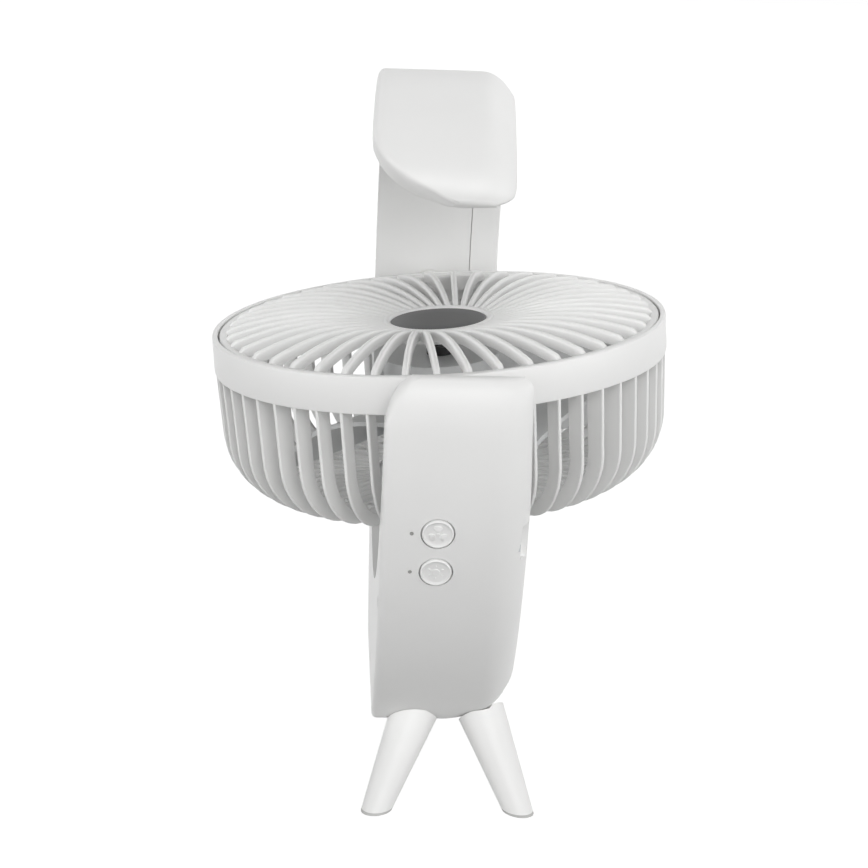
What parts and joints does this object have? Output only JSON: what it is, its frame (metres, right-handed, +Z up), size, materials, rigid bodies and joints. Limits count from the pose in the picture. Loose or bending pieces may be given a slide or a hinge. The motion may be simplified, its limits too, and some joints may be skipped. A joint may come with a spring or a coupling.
{
  "type": "portable camping fan",
  "caption": "Round tilting fan head held by two pivots in an upright C-shaped ribbon frame with a hook-like curl on top and cone legs below.",
  "frame": {"origin": "on the floor, below the head's pivot axis, at the middle of the outline", "axes": "+X right, +Y back, +Z up; the head's pivot axis runs along Y"},
  "size_m": [0.2012, 0.235, 0.3113],
  "materials": {
    "shell_white": "fine satin",
    "cage_white": "satin",
    "button_white": "satin",
    "badge_grey": "satin",
    "impeller_grey": "smooth",
    "pad_rubber": "matt",
    "black_nylon": "matt",
    "pipe_clear": "clear",
    "board_green": "lacquered",
    "steel": "plain",
    "motor_steel": "plain",
    "cell_wrap": "shrink wrap",
    "lens_frost": "frosted"
  },
  "bodies": {
    "frame": {"frame_shell": "shell_white", "frame_cover": "shell_white", "lamp_panel": "shell_white", "cover_screws": "steel", "leg_front_left": "shell_white", "leg_front_right": "shell_white", "leg_back_left": "shell_white", "leg_back_right": "shell_white", "foot_pads": "pad_rubber", "indicator_pipes": "pipe_clear", "control_board": "board_green", "tact_switches": "black_nylon", "usb_port": "steel", "battery_cells": "cell_wrap", "battery_tray": "black_nylon", "lamp_lens": "lens_frost", "lamp_board": "board_green", "pivot_bushes": "black_nylon"},
    "head": {"pivot_pins": "steel", "pivot_clips": "steel", "pivot_washers": "pad_rubber", "rear_cage": "cage_white", "front_grille": "cage_white", "hub_badge": "badge_grey", "grille_screws": "steel", "motor": "motor_steel", "motor_screws": "steel"},
    "rotor": {"motor_shaft": "steel", "impeller": "impeller_grey", "impeller_nut": "black_nylon"},
    "button_fan": {"button_fan": "button_white"},
    "button_light": {"button_light": "button_white"}
  },
  "joints": [
    {"name": "head_tilt", "type": "hinge", "parent": "frame", "child": "head", "pos_m": [0, 0, 0.1935], "axis": [0, -1, 0], "range_deg": [-95, 85]},
    {"name": "fan_spin", "type": "hinge", "parent": "head", "child": "rotor", "pos_m": [0, 0, 0.1935], "axis": [-0.0872, 0, 0.9962], "continuous": true},
    {"name": "button_fan_press", "type": "slide", "parent": "frame", "child": "button_fan", "axis": [0, 0.9707, 0.2402], "range_m": [0, 0.0007], "stiffness_N_per_m": 900, "springref_m": -0.0003},
    {"name": "button_light_press", "type": "slide", "parent": "frame", "child": "button_light", "axis": [0, 0.9478, 0.319], "range_m": [0, 0.0007], "stiffness_N_per_m": 900, "springref_m": -0.0003}
  ]
}
